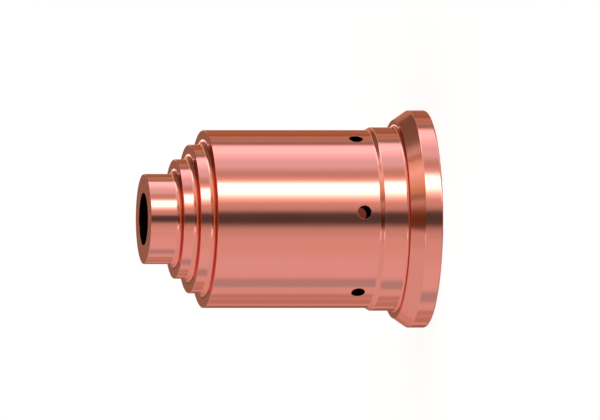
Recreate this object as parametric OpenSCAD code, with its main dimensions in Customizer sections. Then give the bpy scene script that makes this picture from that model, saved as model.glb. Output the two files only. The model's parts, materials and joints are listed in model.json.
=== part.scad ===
/* [Flange] */
// Diameter of the flange
flange_d = 26; // [24.5:0.5:32]
// Height of the flange's straight rim
rim_h = 2.1; // [1:0.1:3]
// Height of the bevel above the rim
bevel_h = 1.65; // [0.8:0.05:2]
// Lean of the bevel, in degrees from the axis
bevel_angle = 34; // [20:1:36]
// Radius of the flange's rounded edges
edge_r = 0.25; // [0.05:0.05:0.4]

/* [Body] */
// Diameter of the body
body_d = 21.3; // [20.5:0.1:21.6]
// Diameter of the land between the flange and the body
land_d = 21.95; // [21.7:0.05:22.6]
// Height of the land above the flange
land_h = 2.95; // [1.5:0.05:4]
// Height of the chamfer from the land up to the body
land_chamfer_h = 0.5; // [0.3:0.05:1]
// Radius of the roundings at both edges of that chamfer
chamfer_edge_r = 0.4; // [0.05:0.05:0.4]
// Height of the body above the chamfer
body_h = 19.75; // [17:0.05:26]
// Radius of the fillet between the land and the flange
land_fillet = 0.35; // [0.05:0.05:0.4]

/* [Stepped nose] */
// Number of shoulders between the body and the nose tube
shoulders = 3; // [1:1:3]
// Width of each shoulder
shoulder_w = 1.75; // [1:0.05:1.9]
// Height of each ring between two shoulders
ring_h = 1.75; // [1.2:0.05:3]
// Height of the nose tube above the last shoulder
nose_h = 3.7; // [2:0.05:6]
// Radius of the fillet at the root of each shoulder
root_fillet = 0.7; // [0.1:0.05:0.8]

/* [Bore] */
// Diameter of the bore through the nose
nose_bore_d = 6.25; // [3:0.05:8]
// Diameter of the cavity inside the body
cavity_d = 14; // [12:0.1:15]
// Wall left between the inner cone and the roots of the shoulders
cone_wall = 3.65; // [2.5:0.05:4.5]

/* [Socket] */
// Diameter of the socket, at the crests of its thread
socket_d = 18; // [16.5:0.1:18.4]
// Depth of the socket
socket_depth = 5.2; // [3.5:0.1:7]
// Width of the chamfer at the mouth of the socket
lead_in = 0.6; // [0.1:0.1:1]
// How far the relief groove at the floor of the socket is cut into its wall
relief_cut = 0.45; // [0.2:0.05:0.6]
// Height of the relief groove
relief_h = 0.9; // [0.5:0.1:1.5]
// Width of the chamfer between the socket's floor and the cavity
seat_chamfer = 0.3; // [0.1:0.05:0.5]

/* [Vents] */
// Number of vents, evenly spaced
vent_count = 6; // [3:1:12]
// Diameter of each vent
vent_d = 1.65; // [0.8:0.05:2.5]
// Height of the vents' axes above the floor of the socket
vent_rise = 3.95; // [2:0.05:6]

/* [Hidden] */
$fn = 128;
copper = [0.86, 0.52, 0.46];

// The first vent opens towards the front
vent_start = -90;
// How far a cut runs past the face that it opens
past = 1;

flange_top = rim_h + bevel_h;
land_top = flange_top + land_h;
body_foot = land_top + land_chamfer_h;
body_top = body_foot + body_h;
last_shoulder = body_top + (shoulders - 1) * ring_h;
nose_top = last_shoulder + nose_h;
vent_z = socket_depth + vent_rise;

flange_r = flange_d / 2;
bevel_r = flange_r - bevel_h * tan(bevel_angle);
land_r = land_d / 2;
chamfer_lean = atan2(land_r - body_d / 2, land_chamfer_h);
socket_r = socket_d / 2;
cavity_r = cavity_d / 2;
nose_bore_r = nose_bore_d / 2;

// Radius of the body (0) and of each ring above it, the last of which is the nose tube
function ring_r(i) = body_d / 2 - i * shoulder_w;

// Height of each shoulder's face, counted from the body's top (0)
function shoulder_z(i) = body_top + i * ring_h;

// Height at which the inner cone, which runs parallel to the stair, has the radius r
function cone_z(r) = body_top + (ring_r(1) - r) * ring_h / shoulder_w
    - cone_wall * norm([shoulder_w, ring_h]) / shoulder_w;

// The sliver between a corner at p and an arc of radius r that touches both its sides,
// which leave the corner at the angles a and b. Added to a section it is a fillet, and
// taken away from one it rounds the edge.
module corner(p, a, b, r) {
    half = abs(b - a) / 2;
    side = r / tan(half);
    middle = (a + b) / 2;
    centre = p + r / sin(half) * [cos(middle), sin(middle)];
    difference() {
        polygon([
            p,
            p + side * [cos(a), sin(a)],
            centre,
            p + side * [cos(b), sin(b)]
        ]);
        translate(centre) circle(r);
    }
}

// Outline of the turned outside, as radius and height
module outside() {
    stair = [
        for (i = [0 : shoulders - 1])
            each [[ring_r(i), shoulder_z(i)], [ring_r(i + 1), shoulder_z(i)]]
    ];
    difference() {
        polygon(concat(
            [
                [0, 0],
                [flange_r, 0],
                [flange_r, rim_h],
                [bevel_r, flange_top],
                [land_r, flange_top],
                [land_r, land_top],
                [ring_r(0), body_foot]
            ],
            stair,
            [
                [ring_r(shoulders), nose_top],
                [0, nose_top]
            ]
        ));
        corner([flange_r, 0], 90, 180, edge_r);
        corner([flange_r, rim_h], 90 + bevel_angle, 270, edge_r);
        corner([land_r, land_top], 90 + chamfer_lean, 270, chamfer_edge_r);
    }
    corner([land_r, flange_top], 0, 90, land_fillet);
    corner([ring_r(0), body_foot], chamfer_lean - 90, 90, chamfer_edge_r);
    for (i = [0 : shoulders - 1])
        corner([ring_r(i + 1), shoulder_z(i)], 0, 90, root_fillet);
}

// Outline of the socket, the cavity, the cone and the nose's bore
module inside() {
    polygon([
        [0, -past],
        [socket_r + lead_in + past, -past],
        [socket_r, lead_in],
        [socket_r, socket_depth - relief_h],
        [socket_r + relief_cut, socket_depth - relief_h],
        [socket_r + relief_cut, socket_depth],
        [cavity_r + seat_chamfer, socket_depth],
        [cavity_r, socket_depth + seat_chamfer],
        [cavity_r, cone_z(cavity_r)],
        [nose_bore_r, cone_z(nose_bore_r)],
        [nose_bore_r, nose_top + past],
        [0, nose_top + past]
    ]);
}

// Round holes from the outside into the cavity
module vents() {
    for (i = [0 : vent_count - 1])
        rotate([0, 90, vent_start + i * 360 / vent_count])
            cylinder(h = flange_r, d = vent_d);
}

module nozzle() {
    color(copper) difference() {
        rotate_extrude() difference() {
            outside();
            inside();
        }
        translate([0, 0, vent_z]) vents();
    }
}

nozzle();
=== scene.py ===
"""The turned copper nozzle on a pale studio floor, seen as in the photograph.

The nozzle's sizes are in millimetres until Skin.mesh() turns them into the frame's metres.
"""
import json
import math
from collections import namedtuple

import bpy
import numpy as np
from mathutils import Matrix, Vector


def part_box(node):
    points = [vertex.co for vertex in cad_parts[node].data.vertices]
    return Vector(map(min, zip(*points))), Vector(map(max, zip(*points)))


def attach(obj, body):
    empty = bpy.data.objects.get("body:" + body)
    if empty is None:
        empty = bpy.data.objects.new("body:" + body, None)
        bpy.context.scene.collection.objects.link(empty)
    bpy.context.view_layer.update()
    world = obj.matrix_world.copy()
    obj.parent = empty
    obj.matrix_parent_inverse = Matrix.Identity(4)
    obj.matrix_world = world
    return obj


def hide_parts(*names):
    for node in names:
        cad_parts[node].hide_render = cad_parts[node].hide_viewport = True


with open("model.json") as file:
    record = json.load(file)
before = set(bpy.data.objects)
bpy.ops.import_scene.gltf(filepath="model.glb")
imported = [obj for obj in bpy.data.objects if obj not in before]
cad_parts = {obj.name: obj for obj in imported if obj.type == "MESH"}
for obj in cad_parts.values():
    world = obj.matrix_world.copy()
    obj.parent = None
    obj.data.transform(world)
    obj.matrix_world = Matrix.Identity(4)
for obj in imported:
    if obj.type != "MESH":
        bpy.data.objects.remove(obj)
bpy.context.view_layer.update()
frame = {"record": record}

# Sizes that the frame holds
MM = 0.001
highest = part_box("nozzle")[1]
FLANGE_R = highest.x / MM
NOSE_TOP = highest.z / MM
round_mounts = {m["name"]: m["dims"].get("r_mm") for m in frame["record"]["mounts"]}
SOCKET_R = round_mounts["torch_socket"]
CAVITY_R = round_mounts["cavity"]
NOSE_BORE_R = round_mounts["nose_bore"]
BODY_R = round_mounts["body_outside"]

# Sizes of the solid that the frame doesn't name
RIM_H = 2.1
BEVEL_H = 1.65
BEVEL_ANGLE = math.radians(34)
LAND_R = 10.975
LAND_H = 2.95
LAND_CHAMFER_H = 0.5
SHOULDERS = 3
SHOULDER_W = 1.75
RING_H = 1.75
NOSE_H = 3.7
CONE_WALL = 3.65
SOCKET_DEPTH = 5.2
RELIEF_CUT = 0.45
RELIEF_H = 0.9
LEAD_IN = 0.6
SEAT_CHAMFER = 0.3
VENT_COUNT = 6
VENT_R = 0.825
VENT_RISE = 3.95
VENT_START = math.radians(-90)

# Roundings
ROOT_FILLET = 0.7
FLANGE_EDGE = 0.25
LAND_FILLET = 0.35
CHAMFER_EDGE = 0.4
STEP_EDGE = 0.08
SHARP_EDGE = 0.03
VENT_EDGE = 0.02

# The socket's thread. Its profile is a wave, cut flat at the crests and the roots.
THREAD_PITCH = 0.8
THREAD_DEPTH = 0.43
THREAD_ROWS_PER_TURN = 16
WAVE_MIDDLE = 0.5
WAVE_SWING = 0.62
# How far apart the two points are that give the wall's slope
SLOPE_STEP = 1e-3

# How finely the turned surface is divided
COLUMNS = 288
COLUMN_TURN = 2 * math.pi / COLUMNS
ARC_STEP = math.radians(9)
# The section runs straight on at a corner that turns by less than this
STRAIGHT = 1e-6

FLANGE_TOP = RIM_H + BEVEL_H
LAND_TOP = FLANGE_TOP + LAND_H
BODY_FOOT = LAND_TOP + LAND_CHAMFER_H
LAST_SHOULDER = NOSE_TOP - NOSE_H
BODY_TOP = LAST_SHOULDER - (SHOULDERS - 1) * RING_H
VENT_Z = SOCKET_DEPTH + VENT_RISE

# The patch of wall that is meshed around each vent: its half height, and how many columns
# and rows of the wall it takes up
PatchSize = namedtuple("PatchSize", "half_height half_columns rows")
OUTER_PATCH = PatchSize(1.4, 6, 12)
INNER_PATCH = PatchSize(1.15, 7, 10)
PATCH_RINGS = 4
VENT_EDGE_STEPS = 4

TURN = np.arange(COLUMNS) * 2 * math.pi / COLUMNS


def ring_r(i):
    """Radius of the body (0) and of each ring above it; the last is the nose tube."""
    return BODY_R - i * SHOULDER_W


def cone_z(r):
    """Height at which the inner cone, parallel to the stair, has the radius r."""
    along_stair = BODY_TOP + (ring_r(1) - r) * RING_H / SHOULDER_W
    return along_stair - CONE_WALL * math.hypot(SHOULDER_W, RING_H) / SHOULDER_W


# Outline of the section

# Places of the finishes in the mesh's list of materials
# The second place is for the walls of the bore and the vents, whose finish is painted shade
TURNED, HOLE_SHADE, BORED = range(3)

Corner = namedtuple("Corner", "r z rounding build finish", defaults=(0.0, None, TURNED))


def outline():
    """The section's corners, out along the rear face, up outside and down inside.

    build names the way in which the stretch that follows a corner is meshed, and finish
    its surface.
    """
    corners = [
        Corner(FLANGE_R, 0, FLANGE_EDGE),
        Corner(FLANGE_R, RIM_H, FLANGE_EDGE),
        Corner(FLANGE_R - BEVEL_H * math.tan(BEVEL_ANGLE), FLANGE_TOP, SHARP_EDGE),
        Corner(LAND_R, FLANGE_TOP, LAND_FILLET),
        Corner(LAND_R, LAND_TOP, CHAMFER_EDGE),
        Corner(BODY_R, BODY_FOOT, CHAMFER_EDGE),
        Corner(BODY_R, VENT_Z - OUTER_PATCH.half_height, build="outer_vents"),
        Corner(BODY_R, VENT_Z + OUTER_PATCH.half_height),
    ]
    for i in range(SHOULDERS):
        z = BODY_TOP + i * RING_H
        corners.append(Corner(ring_r(i), z, STEP_EDGE))
        corners.append(Corner(ring_r(i + 1), z, ROOT_FILLET))
    corners += [
        Corner(ring_r(SHOULDERS), NOSE_TOP, STEP_EDGE),
        # The nose bore's wall gets the finish with painted shade
        Corner(NOSE_BORE_R, NOSE_TOP, SHARP_EDGE, finish=HOLE_SHADE),
    ]
    inside = [
        Corner(NOSE_BORE_R, cone_z(NOSE_BORE_R), SHARP_EDGE),
        Corner(CAVITY_R, cone_z(CAVITY_R), SHARP_EDGE),
        Corner(CAVITY_R, VENT_Z + INNER_PATCH.half_height, build="inner_vents"),
        Corner(CAVITY_R, VENT_Z - INNER_PATCH.half_height),
        Corner(CAVITY_R, SOCKET_DEPTH + SEAT_CHAMFER, SHARP_EDGE),
        Corner(CAVITY_R + SEAT_CHAMFER, SOCKET_DEPTH, SHARP_EDGE),
        Corner(SOCKET_R + RELIEF_CUT, SOCKET_DEPTH, SHARP_EDGE),
        Corner(SOCKET_R + RELIEF_CUT, SOCKET_DEPTH - RELIEF_H, build="thread"),
    ]
    corners += [corner._replace(finish=BORED) for corner in inside]
    corners.append(Corner(SOCKET_R + LEAD_IN, 0))
    return corners


Row = namedtuple("Row", "r z before after build finish")


def rows_of(corners):
    """One row for each circle of the lathe work, with the normal before and after it."""
    rows = []
    count = len(corners)
    for i, corner in enumerate(corners):
        here = np.array([corner.r, corner.z])
        last = corners[i - 1]
        following = corners[(i + 1) % count]
        come = here - (last.r, last.z)
        go = np.array([following.r, following.z]) - here
        come /= np.hypot(*come)
        go /= np.hypot(*go)
        before = np.array([come[1], -come[0]])
        after = np.array([go[1], -go[0]])
        turn = math.atan2(come[0] * go[1] - come[1] * go[0], come @ go)
        if abs(turn) < STRAIGHT or not corner.rounding:
            rows.append(Row(*here, before, after, corner.build, corner.finish))
            continue
        back = corner.rounding * math.tan(abs(turn) / 2)
        centre = here - come * back - before * corner.rounding * np.sign(turn)
        steps = max(2, math.ceil(abs(turn) / ARC_STEP))
        for k in range(steps + 1):
            angle = turn * k / steps
            normal = np.array([
                before[0] * math.cos(angle) - before[1] * math.sin(angle),
                before[0] * math.sin(angle) + before[1] * math.cos(angle),
            ])
            point = centre + normal * corner.rounding * np.sign(turn)
            build = corner.build if k == steps else None
            rows.append(Row(*point, normal, normal, build, corner.finish))
    return rows


# Mesh

def around(r, z, turn=TURN):
    """Points at the radius r, the height z and each angle of turn."""
    ones = np.ones_like(turn)
    return np.stack([r * np.cos(turn), r * np.sin(turn), z * ones], axis=1)


class Skin:
    """A mesh under way: its points, and its faces with a normal at each of their corners.

    finish is that of the faces that are added next.
    """

    def __init__(self):
        self.points = []
        self.faces = []
        self.normals = []
        self.finish = TURNED
        self.finishes = []

    def add(self, points):
        first = len(self.points)
        self.points.extend(points)
        return np.arange(first, first + len(points))

    def strip(self, a, b, normals_a, normals_b, closed=True):
        """Faces between two lines of points."""
        count = len(a) if closed else len(a) - 1
        for i in range(count):
            j = (i + 1) % len(a)
            self.faces.append((a[i], a[j], b[j], b[i]))
            self.normals.append((normals_a[i], normals_a[j], normals_b[j], normals_b[i]))
            self.finishes.append(self.finish)

    def mesh(self, name):
        """The finished mesh, in metres, each face turned to the side of its normals."""
        points = np.array(self.points) * MM
        faces = np.array(self.faces)
        normals = np.array(self.normals)
        corner = points[faces]
        facing = np.cross(corner[:, 2] - corner[:, 0], corner[:, 3] - corner[:, 1])
        inward = np.einsum("ij,ij->i", facing, normals.sum(axis=1)) < 0
        faces[inward] = faces[inward, ::-1]
        normals[inward] = normals[inward, ::-1]
        mesh = bpy.data.meshes.new(name)
        mesh.from_pydata(points.tolist(), [], faces.tolist())
        mesh.polygons.foreach_set("use_smooth", np.ones(len(faces), bool))
        mesh.polygons.foreach_set("material_index", self.finishes)
        mesh.normals_split_custom_set(normals.reshape(-1, 3))
        return mesh


def thread_radius(turn, z):
    """Radius of the socket's wall: crests at the bore, roots cut outwards, open mouth."""
    phase = np.mod(z / THREAD_PITCH - turn / (2 * math.pi), 1)
    wave = WAVE_MIDDLE + WAVE_SWING * np.cos(2 * math.pi * phase)
    groove = THREAD_DEPTH * np.clip(wave, 0, 1)
    mouth = SOCKET_R + LEAD_IN - z
    return np.maximum(SOCKET_R + groove, mouth)


def thread_normals(turn, z):
    """Normals of that wall, towards the axis, from its slopes."""
    step = SLOPE_STEP
    r = thread_radius(turn, z)
    slope_z = (thread_radius(turn, z + step) - thread_radius(turn, z - step)) / (2 * step)
    slope_t = (thread_radius(turn + step, z) - thread_radius(turn - step, z)) / (2 * step)
    radial = around(1, 0, turn)
    tangent = np.stack([-np.sin(turn), np.cos(turn), 0 * turn], axis=1)
    normal = -radial + tangent * (slope_t / r)[:, None]
    normal[:, 2] += slope_z
    return normal / np.linalg.norm(normal, axis=1, keepdims=True)


def cut_thread(skin, outer, inner, top):
    """The ledge under the relief groove and the threaded wall, down to the mouth."""
    count = math.ceil(top / THREAD_PITCH * THREAD_ROWS_PER_TURN)
    heights = np.linspace(top, 0, count + 1)
    up = np.tile([0.0, 0.0, 1.0], (COLUMNS, 1))
    line = skin.add(around(thread_radius(TURN, top), top))
    skin.strip(outer, line, up, up)
    normals = thread_normals(TURN, top)
    for z in heights[1:]:
        last = z == heights[-1]
        below = inner if last else skin.add(around(thread_radius(TURN, z), z))
        below_normals = thread_normals(TURN, z)
        skin.strip(line, below, normals, below_normals)
        line, normals = below, below_normals


def vent_angle(k):
    return VENT_START + k * 2 * math.pi / VENT_COUNT


def vented_wall(skin, lower, upper, r, outward, patch):
    """A band of cylinder wall with a round hole for each vent, and the holes' edges.

    Returns, for each vent, the ring of points where the straight hole begins, and the
    normals there.
    """
    heights = VENT_Z + np.linspace(-patch.half_height, patch.half_height, patch.rows + 1)
    lines = [lower] + [None] * (patch.rows - 1) + [upper]
    for row in range(1, patch.rows):
        lines[row] = skin.add(around(r, heights[row]))
    wall = around(outward, 0)
    middles = [round(vent_angle(k) / COLUMN_TURN) % COLUMNS for k in range(VENT_COUNT)]
    offsets = (np.arange(COLUMNS)[:, None] - np.array(middles) + COLUMNS // 2) % COLUMNS
    offsets = offsets - COLUMNS // 2
    for row in range(patch.rows):
        for i in range(COLUMNS):
            near = (offsets[i] >= -patch.half_columns) & (offsets[i] < patch.half_columns)
            if not near.any():
                pair = np.array([i, (i + 1) % COLUMNS])
                skin.strip(
                    lines[row][pair], lines[row + 1][pair], wall[pair], wall[pair], False
                )
    return [
        vent_mouth(skin, lines, heights, middle, r, outward, patch) for middle in middles
    ]


def vent_mouth(skin, lines, heights, middle, r, outward, patch):
    """Faces from a rectangle of wall in to one vent's hole, and its rounded edge."""
    w, top = patch.half_columns, patch.rows
    right = [(w, row) for row in range(top // 2, top)]
    above = [(c, top) for c in range(w, -w, -1)]
    left = [(-w, row) for row in range(top, 0, -1)]
    below = [(c, 0) for c in range(-w, w)]
    rest = [(w, row) for row in range(top // 2)]
    frame_cells = right + above + left + below + rest
    ring = np.array([lines[row][(middle + c) % COLUMNS] for c, row in frame_cells])
    edge = np.array([(c * COLUMN_TURN, heights[row] - VENT_Z) for c, row in frame_cells])
    count = len(frame_cells)
    t = np.arange(count) * 2 * math.pi / count
    centre = middle * COLUMN_TURN
    reach = VENT_R + VENT_EDGE
    hole = np.stack([np.arcsin(reach * np.cos(t) / r), reach * np.sin(t)], axis=1)

    def on_wall(place):
        return around(r, VENT_Z + place[:, 1], centre + place[:, 0])

    def wall_normals(place):
        return around(outward, 0, centre + place[:, 0])

    line, place = ring, edge
    for k in range(1, PATCH_RINGS + 1):
        share = k / PATCH_RINGS
        inner_place = edge + (hole - edge) * share
        inner = skin.add(on_wall(inner_place))
        skin.strip(line, inner, wall_normals(place), wall_normals(inner_place))
        line, place = inner, inner_place

    # From here on the points lie on the edge's rounding, between wall and hole
    radial = np.array([math.cos(centre), math.sin(centre), 0])
    across = np.array([-math.sin(centre), math.cos(centre), 0])
    into_hole = -(np.cos(t)[:, None] * across + np.sin(t)[:, None] * np.array([0, 0, 1.0]))
    face = wall_normals(hole)
    normals = face
    for k in range(1, VENT_EDGE_STEPS + 1):
        lean = k / VENT_EDGE_STEPS * math.pi / 2
        reach = VENT_R + VENT_EDGE * (1 - math.sin(lean))
        sunk = VENT_EDGE * (1 - math.cos(lean)) * outward
        x = reach * np.cos(t)
        depth = np.sqrt(r * r - x * x) - sunk
        points = depth[:, None] * radial + x[:, None] * across
        points[:, 2] = VENT_Z + reach * np.sin(t)
        inner = skin.add(points)
        inner_normals = face * math.cos(lean) + into_hole * math.sin(lean)
        inner_normals /= np.linalg.norm(inner_normals, axis=1, keepdims=True)
        skin.strip(line, inner, normals, inner_normals)
        line, normals = inner, inner_normals
    return line, into_hole


def lathe():
    """The whole nozzle as one closed mesh."""
    skin = Skin()
    rows = rows_of(outline())
    lines = [skin.add(around(row.r, row.z)) for row in rows]
    mouths = []
    for i, row in enumerate(rows):
        j = (i + 1) % len(rows)
        line, next_line, next_row = lines[i], lines[j], rows[j]
        skin.finish = row.finish
        if row.build == "outer_vents":
            mouths.append(vented_wall(skin, line, next_line, row.r, 1, OUTER_PATCH))
        elif row.build == "inner_vents":
            mouths.append(vented_wall(skin, next_line, line, row.r, -1, INNER_PATCH))
        elif row.build == "thread":
            cut_thread(skin, line, next_line, row.z)
        else:
            skin.strip(line, next_line, spun(row.after), spun(next_row.before))
    # The vents' holes get the finish with painted shade
    skin.finish = HOLE_SHADE
    for (outer, outer_normals), (inner, inner_normals) in zip(*mouths):
        skin.strip(outer, inner, outer_normals, inner_normals)
    return skin.mesh("nozzle_skin")


def spun(normal):
    """A normal of the section, carried round the axis."""
    return around(normal[0], normal[1])


# Helpers

# Places of the colours that go into and come out of a Mix node
MIX_FROM, MIX_TO, MIX_RESULT = 6, 7, 2


def add_object(name, data):
    made = bpy.data.objects.new(name, data)
    bpy.context.scene.collection.objects.link(made)
    return made


def empty_tree(owner):
    """The node tree of a new material or world, with nothing in it."""
    owner.use_nodes = True
    owner.node_tree.nodes.clear()
    return owner.node_tree


def node(tree, kind, values=None, **settings):
    """Adds a node, sets its attributes, then links or fills its inputs."""
    made = tree.nodes.new(kind)
    for key, value in settings.items():
        setattr(made, key, value)
    for key, value in (values or {}).items():
        if isinstance(value, bpy.types.NodeSocket):
            tree.links.new(value, made.inputs[key])
        else:
            made.inputs[key].default_value = value
    return made


def maths(tree, operation, *values):
    return node(tree, "ShaderNodeMath", dict(enumerate(values)), operation=operation).outputs[0]


def mix_colour(tree, share, start, end):
    """The colour start where share is 0, and the colour end where it is 1."""
    inputs = {0: share, MIX_FROM: start, MIX_TO: end}
    return node(tree, "ShaderNodeMix", inputs, data_type="RGBA").outputs[MIX_RESULT]


def smooth_step(tree, value, start, end):
    """0 at start and 1 at end, whichever is larger, with a soft run between them."""
    ends = {"Value": value, "From Min": min(start, end), "From Max": max(start, end)}
    ends["To Min"] = 0.0 if start < end else 1.0
    ends["To Max"] = 1.0 - ends["To Min"]
    made = node(tree, "ShaderNodeMapRange", ends, interpolation_type="SMOOTHSTEP")
    return made.outputs["Result"]


# Copper

# Colour face on, the colour that it varies to, colour at a grazing angle, and roughness
Finish = namedtuple("Finish", "name colour warm edge polish")
TURNED_COPPER = Finish(
    name="turned_copper",
    colour=(0.723, 0.246, 0.199, 1),
    warm=(0.735, 0.244, 0.192, 1),
    edge=(0.93, 0.61, 0.57, 1),
    polish=0.13,
)
# Painted shade: the walls of the bore and the vents are coloured darker, most of all where they
# are seen along, in place of the shade inside the holes
HOLE_SHADE_COPPER = Finish(
    name="drilled_copper",
    colour=(0.20, 0.075, 0.06, 1),
    warm=(0.23, 0.075, 0.055, 1),
    edge=(0.10, 0.04, 0.03, 1),
    polish=0.13,
)
# The cavity and the socket aren't polished
BORED_COPPER = TURNED_COPPER._replace(name="bored_copper", polish=0.36)

# The fine marks of the turning, and the clouds in which the colour and the polish vary
MARKS = {"Scale": 9000.0, "Detail": 2.0, "Roughness": 0.6}
CLOUDS = {"Scale": 140.0, "Detail": 3.0}
# The roughness starts a little below a finish's polish, and the clouds and marks add to it
WEAR_START = 0.035
CLOUDS_WEAR = 0.05
MARKS_WEAR = 0.03
# How much the marks show as bumps, and how deep they are in metres
BUMP_STRENGTH = 0.08
BUMP_DEPTH = 0.00002


def copper(finish):
    """Bare copper: fine marks run round the axis, and the polish varies a little."""
    material = bpy.data.materials.new(finish.name)
    tree = empty_tree(material)
    place = node(tree, "ShaderNodeTexCoord").outputs["Object"]
    part = node(tree, "ShaderNodeSeparateXYZ", {0: place}).outputs
    flat = node(tree, "ShaderNodeCombineXYZ", {0: part[0], 1: part[1]}).outputs[0]
    radius = node(tree, "ShaderNodeVectorMath", {0: flat}, operation="LENGTH").outputs["Value"]
    # Marks depend on the radius and the height only, so they lie round the axis
    lathe_place = node(tree, "ShaderNodeCombineXYZ", {0: radius, 1: part[2]}).outputs[0]
    marks = node(
        tree, "ShaderNodeTexNoise", {"Vector": lathe_place, **MARKS}, noise_dimensions="2D"
    ).outputs["Fac"]
    clouds = node(tree, "ShaderNodeTexNoise", {"Vector": place, **CLOUDS}).outputs["Fac"]
    colour = mix_colour(tree, clouds, finish.colour, finish.warm)
    wear = maths(tree, "MULTIPLY_ADD", clouds, CLOUDS_WEAR, finish.polish - WEAR_START)
    rough = maths(tree, "MULTIPLY_ADD", marks, MARKS_WEAR, wear)
    bump = node(
        tree, "ShaderNodeBump",
        {"Height": marks, "Strength": BUMP_STRENGTH, "Distance": BUMP_DEPTH},
    ).outputs["Normal"]
    shader = node(
        tree, "ShaderNodeBsdfPrincipled",
        {
            "Base Color": colour,
            "Metallic": 1.0,
            "Roughness": rough,
            "Specular Tint": finish.edge,
            "Normal": bump,
        },
    )
    node(tree, "ShaderNodeOutputMaterial", {"Surface": shader.outputs[0]})
    return material


# Camera

# The view is turned a little past the front vent, and looks down by the tilt
CAMERA_TURN = math.radians(4.4)
CAMERA_TILT = math.radians(10)
MM_PER_PIXEL = 0.1196
IMAGE_W, IMAGE_H = 600, 420
# Where the photograph shows the centre of the flange's rear face
REAR_CENTRE_PX = (424.65, 219.03)
# In metres
CAMERA_DISTANCE = 0.4
CLIP_START, CLIP_END = 0.01, 10

near_side = Vector((-math.sin(CAMERA_TURN), -math.cos(CAMERA_TURN), 0))
photo_up = Vector((math.cos(CAMERA_TURN), -math.sin(CAMERA_TURN), 0))
towards_camera = near_side * math.cos(CAMERA_TILT) + Vector((0, 0, math.sin(CAMERA_TILT)))
photo_right = photo_up.cross(towards_camera)


def camera():
    """Orthographic, rolled so that the nose points left."""
    data = bpy.data.cameras.new("camera")
    data.type = "ORTHO"
    data.ortho_scale = IMAGE_W * MM_PER_PIXEL * MM
    data.clip_start = CLIP_START
    data.clip_end = CLIP_END
    made = add_object("camera", data)
    right = (REAR_CENTRE_PX[0] - IMAGE_W / 2) * MM_PER_PIXEL * MM
    down = (REAR_CENTRE_PX[1] - IMAGE_H / 2) * MM_PER_PIXEL * MM
    target = photo_up * down - photo_right * right
    axes = Matrix((photo_right, photo_up, towards_camera)).transposed().to_4x4()
    made.matrix_world = Matrix.Translation(target + towards_camera * CAMERA_DISTANCE) @ axes
    bpy.context.scene.camera = made


# Studio

# Cards and softboxes of the studio, as seen from the nozzle. Azimuth is in degrees round
# the nozzle's axis, from the camera's side towards the photograph's top, and elevation is
# above the horizon. Each later card covers the ones before it, by its soft edges. A slope
# lifts a card's elevation for every degree of azimuth past its middle. Places and colours
# were set by comparing the stripes on the render's copper with the photograph's.
Card = namedtuple("Card", "name azimuth soft elevation elevation_soft colour slope")
# Spans that run past the ends of the scale, so that no soft edge shows there
ALL_ROUND = (-182, 182)
ALL_HEIGHTS = (-100, 100)
LOW = (-100, 12)
HIGH = (12, 100)


def card(name, azimuth, soft, colour, elevation=ALL_HEIGHTS, elevation_soft=14, slope=0.0):
    return Card(name, azimuth, soft, elevation, elevation_soft, colour, slope)


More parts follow.
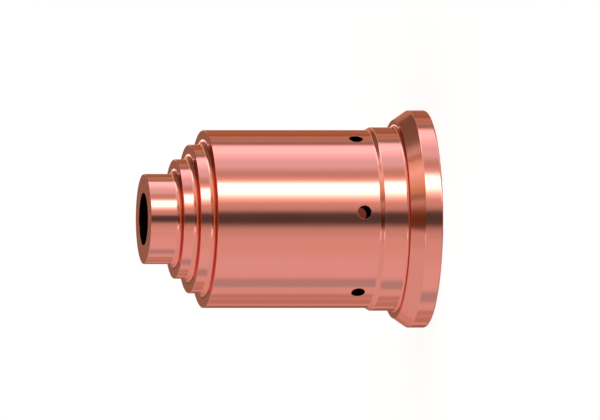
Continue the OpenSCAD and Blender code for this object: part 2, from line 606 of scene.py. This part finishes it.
CARDS = [
    # Behind the nozzle
    card("back wall", (146, 194), (4, 6), (0.373, 0.31, 0.223)),
    card("back wall, low", (146, 204), (4, 6), (0.44, 0.37, 0.25), (-100, 0), 6),
    card("back wall, lit foot", (168, 192), (14, 14), (0.81, 0.41, 0.26), (-100, 0), 6),
    # The side wall's stripes
    card("side wall, low", (112, 149), (2, 6), (0.68, 0.70, 0.60), LOW),
    card("side stripe, amber", (136, 147), (3, 4), (0.48, 0.35, 0.10), LOW),
    card("side stripe, brown", (125.5, 129), (3, 3), (0.57, 0.48, 0.30), LOW),
    card("side stripe, grey", (113, 120), (3, 4), (0.35, 0.41, 0.36), LOW),
    card("side wall, high", (99, 154), (22, 6), (0.25, 0.25, 0.17), (9, 100), 6),
    card("side wall, lit seam", (100, 150), (6, 6), (1.0, 1.1, 1.0), (3, 10), 4, -0.22),
    card("back wall, lit seam", (150, 163), (4, 8), (1.3, 1.4, 1.15), (-3.5, 2), 4, -0.22),
    card("back wall, low shelf", (149, 164), (6, 6), (0.60, 0.58, 0.42), (2, 9), 5),
    card("back wall, dark top", (150, 167), (6, 5), (0.14, 0.12, 0.08), (22, 46), 8),
    card("back wall, gap", (171, 177.5), (4, 2), (2.4, 2.9, 2.8), (3, 15), 5),
    card("back wall, post", (183, 196), (4, 4), (0.13, 0.14, 0.10), (4, 17), 5),
    # Above the camera
    card("ceiling", (46, 91), (8, 8), (1.06, 0.98, 0.72), HIGH),
    card("ceiling, lamp", (62, 75), (12, 12), (1.34, 1.36, 1.18), (26, 60), 12),
    card("ceiling, lamp's low end", (48, 64), (5, 6), (1.05, 1.0, 0.88), (20, 45), 8),
    card("ceiling, far end", (88, 123), (8, 8), (0.92, 0.88, 0.66), (45, 80), 6),
    card("ceiling, golden end", (104, 174), (10, 14), (0.78, 0.50, 0.19), (59, 90), 8),
    card("softbox", (64, 90), (16, 8), (1.07, 1.30, 1.50), (-100, 36), 8, -1.0),
    card("softbox, bright end", (90, 110.3), (20, 5), (2.0, 2.12, 2.45), (-100, 33), 4, -0.65),
    card("softbox, bright top", (82, 104), (5, 6), (2.8, 3.0, 3.3), (12, 33), 6, -0.65),
    card("softbox, top corner", (83, 93), (4, 4), (1.6, 2.1, 2.2), (34, 40), 2, -0.5),
    card("softbox, frame", (84, 99), (6, 6), (0.42, 0.28, 0.15), (40.5, 47), 3),
    card("softbox, near rim", (56, 67), (6, 14), (0.75, 0.74, 0.61), (-100, 4), 14),
    card("key light, glow", (22, 30), (3, 6), (1.38, 1.30, 1.18), (-100, 10), 20),
    card("key light", (30.3, 48.3), (13, 6), (5.5, 5.5, 5.5), (-100, 13), 30, 0.5),
    card("key light, top frame", (20, 38), (8, 6), (0.34, 0.24, 0.16), (26, 42), 6),
    card("ceiling, amber end", (39, 48), (4, 8), (0.85, 0.68, 0.35), (38, 100), 10),
    card("ceiling, dark end", (29.5, 38.5), (4, 4), (0.40, 0.31, 0.20), (34, 100), 12),
    card("ceiling, grey end", (22, 29.5), (6, 4), (0.76, 0.74, 0.60), (34, 100), 12),
    card("ceiling, corner", (13, 22), (4, 6), (0.54, 0.44, 0.29), (20, 100), 12),
    # The dark gap at the camera
    card("camera side, dim", (-24, 22), (12, 10), (0.84, 0.83, 0.76), (-100, 24)),
    card("camera side, dark", (-13, 12), (8, 6), (0.6, 0.6, 0.56), (-100, 24)),
    card("camera", (-8, 9), (8, 5), (0.10, 0.12, 0.11), (-100, 40), 20),
    card("camera, high", (-22, 15), (12, 8), (0.27, 0.14, 0.06), (34, 100), 16),
    card("camera, high rail", (-12, 7), (6, 6), (0.0, 0.0, 0.0), (38, 57.5), 2),
    # The far side, under the photograph's lower edge
    card("far room, pale", (-80, -51), (6, 8), (1.01, 1.03, 1.07), (-100, 8), 6),
    card("far room, shade", (-41, -28), (6, 8), (0.95, 0.93, 0.905), (-100, 8), 6),
    card("far softbox", (-28, -17), (5, 5), (2.0, 2.25, 2.25), (24, 45), 8),
    card("far ceiling", (-63, -18), (12, 8), (0.84, 0.82, 0.75), (46, 100), 6),
    card("far wall", (-152, -44), (6, 14), (0.92, 0.94, 0.92), HIGH),
    card("far stripe, cool", (-100, -84.5), (5, 4), (0.60, 0.74, 0.81), (-100, 8), 6),
    card("far stripe, grey", (-124, -115), (6, 5), (0.66, 0.63, 0.58), (-100, 0)),
    card("far wall, low", (-146, -124), (10, 6), (0.67, 0.64, 0.56), (-100, 0)),
    card("far stripe, pale", (-130, -125), (4, 3), (0.80, 0.80, 0.76), (-100, 0)),
    card("far corner", (-172, -152), (6, 6), (0.74, 0.73, 0.65), (-3, 15), 6),
    card("far corner, edge", (-151, -141), (4, 6), (0.80, 0.82, 0.80), (8, 20), 6),
    card("far corner, deep", (-173, -159), (4, 4), (0.62, 0.46, 0.32), (-4, 5), 5),
    card("far corner, low", (-172, -154), (6, 6), (0.35, 0.29, 0.22), (-100, -3), 6),
    # Straight up and straight down
    card("zenith", ALL_ROUND, (2, 2), (0.55, 0.45, 0.20), (75, 100), 12),
    card("plate under the nozzle", ALL_ROUND, (2, 2), (0.10, 0.07, 0.05), (-100, -70), 16),
]
ROOM = (0.97, 0.98, 0.94, 1)
WHITE = (1, 1, 1, 1)


def window(tree, value, span, soft):
    """1 inside the span and 0 outside it, with soft ends."""
    rise = smooth_step(tree, value, span[0] - soft[0] / 2, span[0] + soft[0] / 2)
    fall = smooth_step(tree, value, span[1] + soft[1] / 2, span[1] - soft[1] / 2)
    return maths(tree, "MULTIPLY", rise, fall)


def studio():
    """White to the camera, and cards and softboxes around the metal."""
    world = bpy.data.worlds.new("studio")
    bpy.context.scene.world = world
    tree = empty_tree(world)
    direction = node(tree, "ShaderNodeTexCoord").outputs["Generated"]
    part = node(tree, "ShaderNodeSeparateXYZ", {0: direction}).outputs
    compass = maths(tree, "DEGREES", maths(tree, "ARCTAN2", part[1], part[0]))
    near_compass = math.degrees(math.atan2(near_side.y, near_side.x))
    azimuth = maths(tree, "SUBTRACT", compass, near_compass)
    elevation = maths(tree, "DEGREES", maths(tree, "ARCSINE", part[2]))
    colour = node(tree, "ShaderNodeRGB").outputs[0]
    colour.default_value = ROOM
    for panel in CARDS:
        start, end = panel.azimuth
        middle = (start + end) / 2
        half = (end - start) / 2
        aside = maths(tree, "WRAP", maths(tree, "SUBTRACT", azimuth, middle), 180.0, -180.0)
        cover = window(tree, aside, (-half, half), panel.soft)
        if panel.elevation != ALL_HEIGHTS:
            height = elevation
            if panel.slope:
                lift = maths(tree, "MULTIPLY", aside, -panel.slope)
                height = maths(tree, "ADD", elevation, lift)
            soft = (panel.elevation_soft, panel.elevation_soft)
            cover = maths(
                tree, "MULTIPLY", cover, window(tree, height, panel.elevation, soft)
            )
        colour = mix_colour(tree, cover, colour, (*panel.colour, 1))
    room = node(tree, "ShaderNodeBackground", {"Color": colour, "Strength": 1.0})
    white = node(tree, "ShaderNodeBackground", {"Color": WHITE, "Strength": 1.0})
    seen = node(tree, "ShaderNodeLightPath").outputs["Is Camera Ray"]
    both = node(tree, "ShaderNodeMixShader", {0: seen, 1: room.outputs[0], 2: white.outputs[0]})
    node(tree, "ShaderNodeOutputWorld", {"Surface": both.outputs[0]})


# The floor, in metres. It lies a hair below the nozzle's rear face.
FLOOR_R = 0.6
FLOOR_Z = -0.00002
FLOOR_SIDES = 96
FLOOR_COLOUR = (0.8, 0.8, 0.8, 1)
# How much of the floor's lit colour the camera sees; the rest is a plain glow
FLOOR_SHADE = 0.25
FLOOR_GLOW = 1.15


def floor():
    """A pale floor that is white to the camera and keeps a soft shadow."""
    mesh = bpy.data.meshes.new("floor")
    turn = np.linspace(0, 2 * math.pi, FLOOR_SIDES, endpoint=False)
    points = around(FLOOR_R, FLOOR_Z, turn)
    mesh.from_pydata(points.tolist(), [], [list(range(FLOOR_SIDES))])
    made = add_object("floor", mesh)
    material = bpy.data.materials.new("floor")
    tree = empty_tree(material)
    matt = node(tree, "ShaderNodeBsdfDiffuse", {"Color": FLOOR_COLOUR})
    glow = node(tree, "ShaderNodeEmission", {"Color": WHITE, "Strength": FLOOR_GLOW})
    seen = node(tree, "ShaderNodeLightPath").outputs["Is Camera Ray"]
    lift = maths(tree, "MULTIPLY", seen, 1 - FLOOR_SHADE)
    both = node(tree, "ShaderNodeMixShader", {0: lift, 1: matt.outputs[0], 2: glow.outputs[0]})
    node(tree, "ShaderNodeOutputMaterial", {"Surface": both.outputs[0]})
    mesh.materials.append(material)
    # Polished walls show the cards behind the floor, as the photograph's do
    made.visible_glossy = False


def nozzle():
    made = add_object("nozzle_copper", lathe())
    for finish in (TURNED_COPPER, HOLE_SHADE_COPPER, BORED_COPPER):
        made.data.materials.append(copper(finish))
    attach(made, "root")
    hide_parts("nozzle")


camera()
studio()
floor()
nozzle()
bpy.context.scene.view_settings.view_transform = "Standard"
